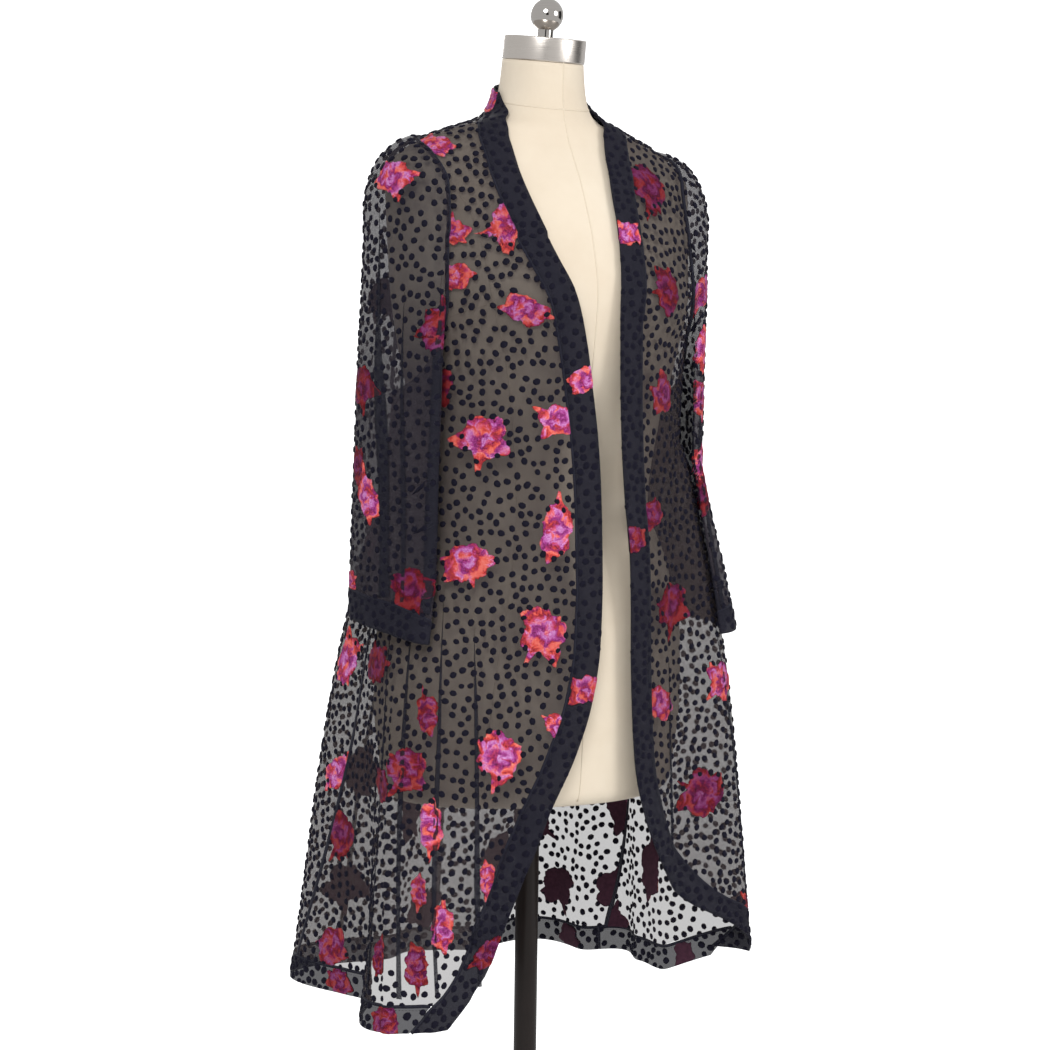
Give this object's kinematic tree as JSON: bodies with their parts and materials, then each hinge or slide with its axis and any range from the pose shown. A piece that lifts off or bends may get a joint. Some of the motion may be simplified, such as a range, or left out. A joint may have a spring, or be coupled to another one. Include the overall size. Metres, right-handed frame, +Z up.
{
  "type": "velvet kimono on a dress form",
  "caption": "Sheer open-front kimono jacket with burn-out velvet dots and roses, worn on a limbless dress form on a round stand.",
  "frame": {"origin": "centre of the stand's underside, on the floor", "axes": "+Z up the pole, -Y the wearer's front, +X the wearer's left"},
  "size_m": [0.4715, 0.4213, 1.5978],
  "materials": {
    "chiffon": "matt",
    "velvet_band": "matt",
    "linen": "matt",
    "brushed_cap": "brushed",
    "polished_ball": "polished",
    "stand_enamel": "satin"
  },
  "bodies": {
    "root": {"form_torso": "linen", "form_neck_cap": "brushed_cap", "form_finial": "polished_ball", "form_pole": "stand_enamel", "form_base": "stand_enamel", "back_panel": "chiffon", "front_right": "chiffon", "front_left": "chiffon", "sleeve_right": "chiffon", "sleeve_left": "chiffon", "neck_band": "velvet_band", "front_band_right": "velvet_band", "front_band_left": "velvet_band", "hem_band_back": "velvet_band", "hem_band_right": "velvet_band", "hem_band_left": "velvet_band", "cuff_band_right": "velvet_band", "cuff_band_left": "velvet_band"}
  },
  "joints": []
}
